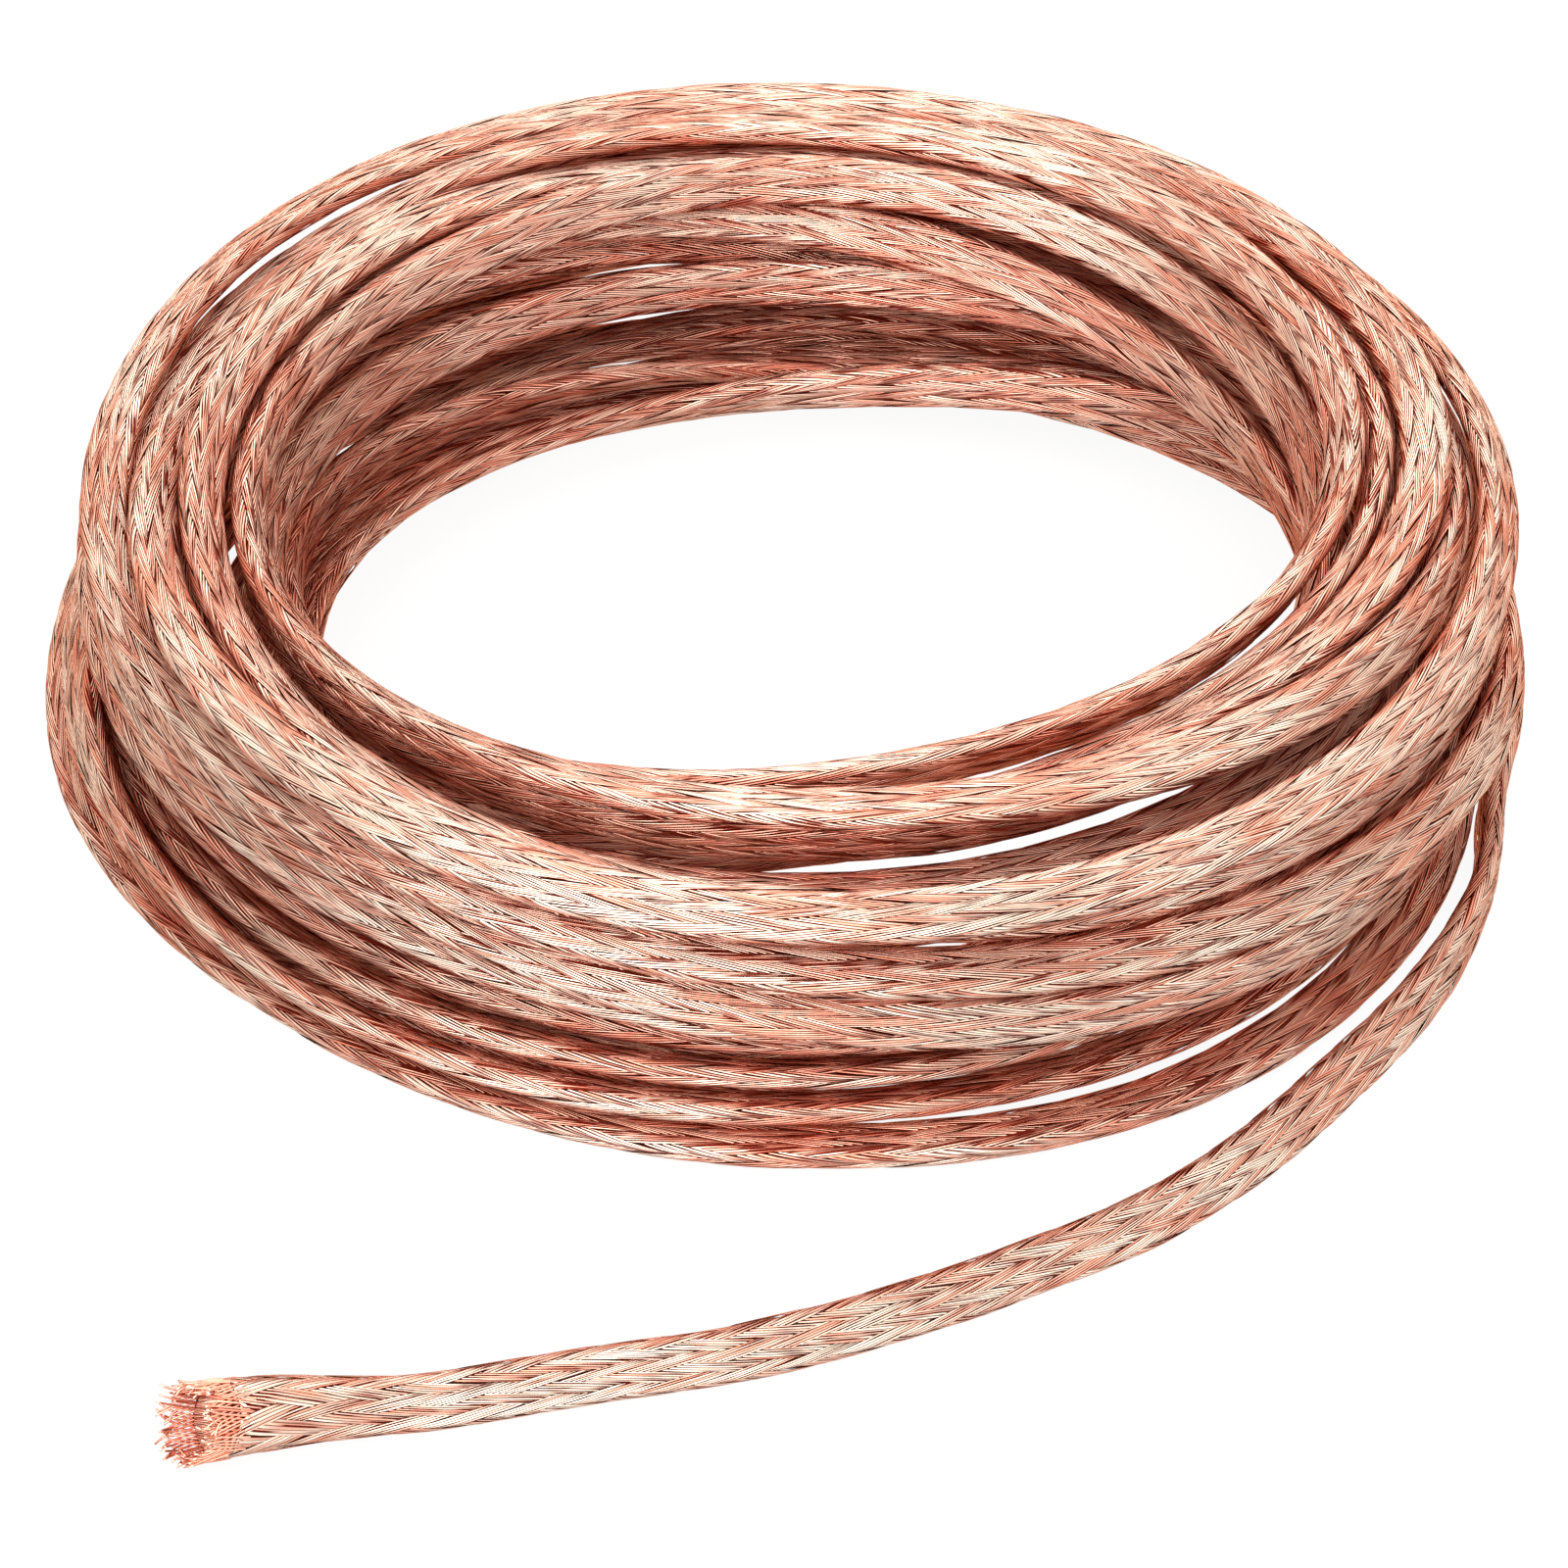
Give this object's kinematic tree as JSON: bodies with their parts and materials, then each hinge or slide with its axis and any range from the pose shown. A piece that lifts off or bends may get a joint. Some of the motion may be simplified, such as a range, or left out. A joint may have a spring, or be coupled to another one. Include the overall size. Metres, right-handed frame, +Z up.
{
  "type": "flexible busbar braid",
  "caption": "Length of bare copper braid, pressed to a flat oval and wound into a loose coil, with one free end that opens in a mouth of cut wires.",
  "frame": {"origin": "on the table, under the middle of the whole part's box", "axes": "+Z up out of the coil, +X to the right and +Y away from the viewer of the picture, with the free end in front"},
  "size_m": [0.177, 0.2254, 0.0399],
  "materials": {
    "bare_copper": "bare annealed copper wire, braided, bright"
  },
  "bodies": {
    "root": {"braid_coil": "bare_copper", "braid_tail": "bare_copper"}
  },
  "joints": []
}
